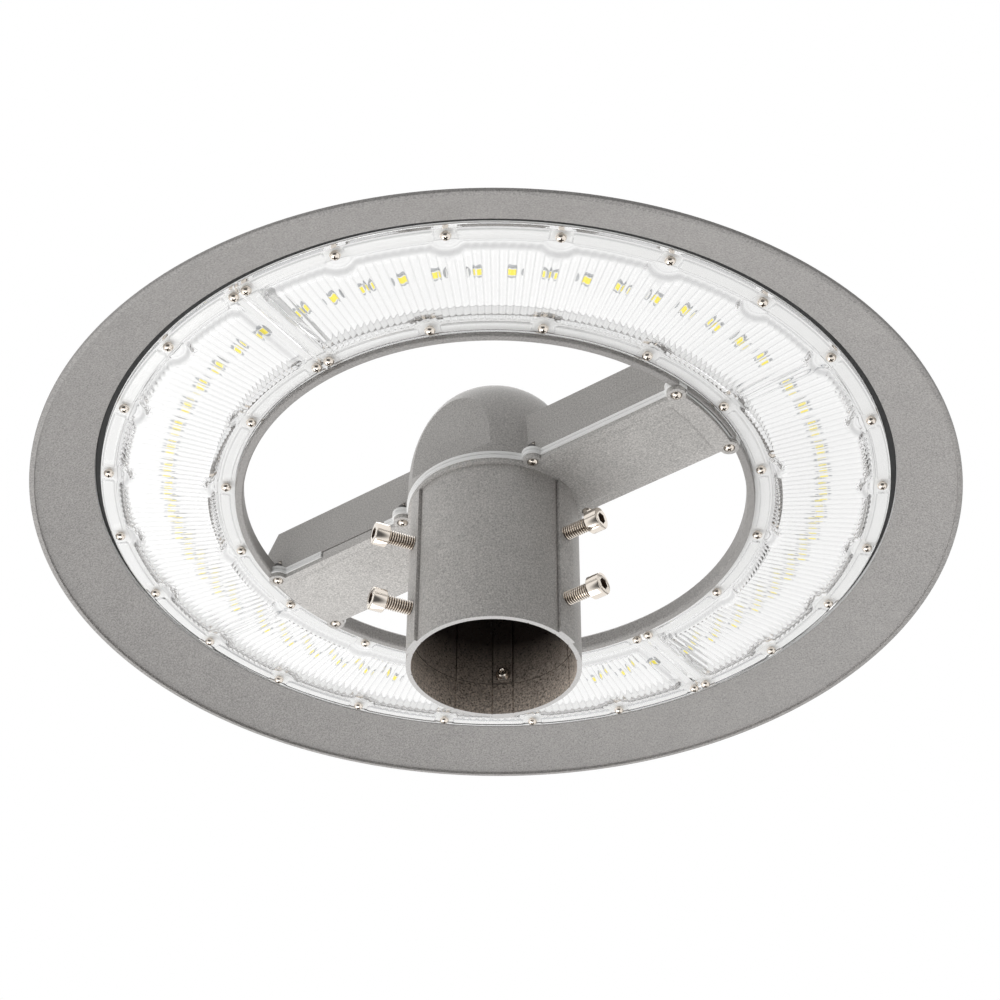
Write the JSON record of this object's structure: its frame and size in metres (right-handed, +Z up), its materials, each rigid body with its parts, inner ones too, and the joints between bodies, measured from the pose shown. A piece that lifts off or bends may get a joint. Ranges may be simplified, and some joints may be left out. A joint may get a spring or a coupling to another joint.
{
  "type": "park light fixture",
  "caption": "Post-top park light: open ring canopy with fluted lenses underneath, bridge arms, domed hub and a socket with clamp screws for a lamp post.",
  "frame": {"origin": "centre of the pole socket's mouth", "axes": "+Z up along the socket and the post, +X along the right arm, -Y towards the picture's camera side"},
  "size_m": [0.5299, 0.53, 0.1844],
  "materials": {
    "castings": "fine grey textured powder coat over die-cast and extruded aluminium",
    "silicone": "smooth pale grey moulded silicone",
    "nickel_steel": "bright nickel-plated steel screws with a warm tint",
    "clear_lens": "clear injection-moulded polycarbonate with fine radial flutes",
    "board_white": "white solder mask on aluminium circuit boards",
    "heat_pad": "soft grey heat-conducting pad",
    "phosphor": "yellow phosphor of white light chips",
    "driver_case": "pressed white-lacquered driver case",
    "zinc_screw": "bright zinc-plated steel",
    "terminal_plastic": "cream moulded terminal block",
    "surge_plastic": "blue moulded case",
    "supply_wire": "silicone-insulated supply wires",
    "board_wire": "silicone-insulated leads to the boards",
    "gland_plastic": "black polyamide gland, nut and vent",
    "gland_rubber": "black rubber sealing washer",
    "brass_lug": "tinned brass ring lug"
  },
  "bodies": {
    "lamp": {"canopy_ring": "castings", "bridge_housing": "castings", "bridge_cover": "castings", "bridge_seal": "silicone", "pole_socket": "castings", "socket_screws": "zinc_screw", "lens_right": "clear_lens", "lens_left": "clear_lens", "lens_seal_right": "silicone", "lens_seal_left": "silicone", "outer_lens_screws": "nickel_steel", "inner_lens_screws": "nickel_steel", "cover_screws": "nickel_steel", "heat_pads": "heat_pad", "light_chips": "phosphor", "driver_right": "driver_case", "driver_left": "driver_case", "driver_screws": "zinc_screw", "terminal_block": "terminal_plastic", "surge_protector": "surge_plastic", "supply_leads": "supply_wire", "board_leads": "board_wire", "cable_gland": "gland_plastic", "gland_washer": "gland_rubber", "gland_nut": "gland_plastic", "breather_vent": "gland_plastic", "earth_screw": "zinc_screw", "earth_lug": "brass_lug", "light_board_rear_right": "board_white", "light_board_rear_left": "board_white", "light_board_front_left": "board_white", "light_board_front_right": "board_white"},
    "clamp_screw_right_upper": {"clamp_screw_right_upper": "nickel_steel"},
    "clamp_screw_right_lower": {"clamp_screw_right_lower": "nickel_steel"},
    "clamp_screw_rear_upper": {"clamp_screw_rear_upper": "nickel_steel"},
    "clamp_screw_rear_lower": {"clamp_screw_rear_lower": "nickel_steel"},
    "clamp_screw_left_upper": {"clamp_screw_left_upper": "nickel_steel"},
    "clamp_screw_left_lower": {"clamp_screw_left_lower": "nickel_steel"}
  },
  "joints": [
    {"name": "clamp_right_upper_travel", "type": "slide", "parent": "lamp", "child": "clamp_screw_right_upper", "axis": [-1, 0, 0], "range_m": [-0.0045, 0.0152]},
    {"name": "clamp_right_lower_travel", "type": "slide", "parent": "lamp", "child": "clamp_screw_right_lower", "axis": [-1, 0, 0], "range_m": [-0.0045, 0.0152]},
    {"name": "clamp_rear_upper_travel", "type": "slide", "parent": "lamp", "child": "clamp_screw_rear_upper", "axis": [0.5, -0.866, 0], "range_m": [-0.0045, 0.0152]},
    {"name": "clamp_rear_lower_travel", "type": "slide", "parent": "lamp", "child": "clamp_screw_rear_lower", "axis": [0.5, -0.866, 0], "range_m": [-0.0045, 0.0152]},
    {"name": "clamp_left_upper_travel", "type": "slide", "parent": "lamp", "child": "clamp_screw_left_upper", "axis": [0.5, 0.866, 0], "range_m": [-0.0045, 0.0152]},
    {"name": "clamp_left_lower_travel", "type": "slide", "parent": "lamp", "child": "clamp_screw_left_lower", "axis": [0.5, 0.866, 0], "range_m": [-0.0045, 0.0152]}
  ]
}
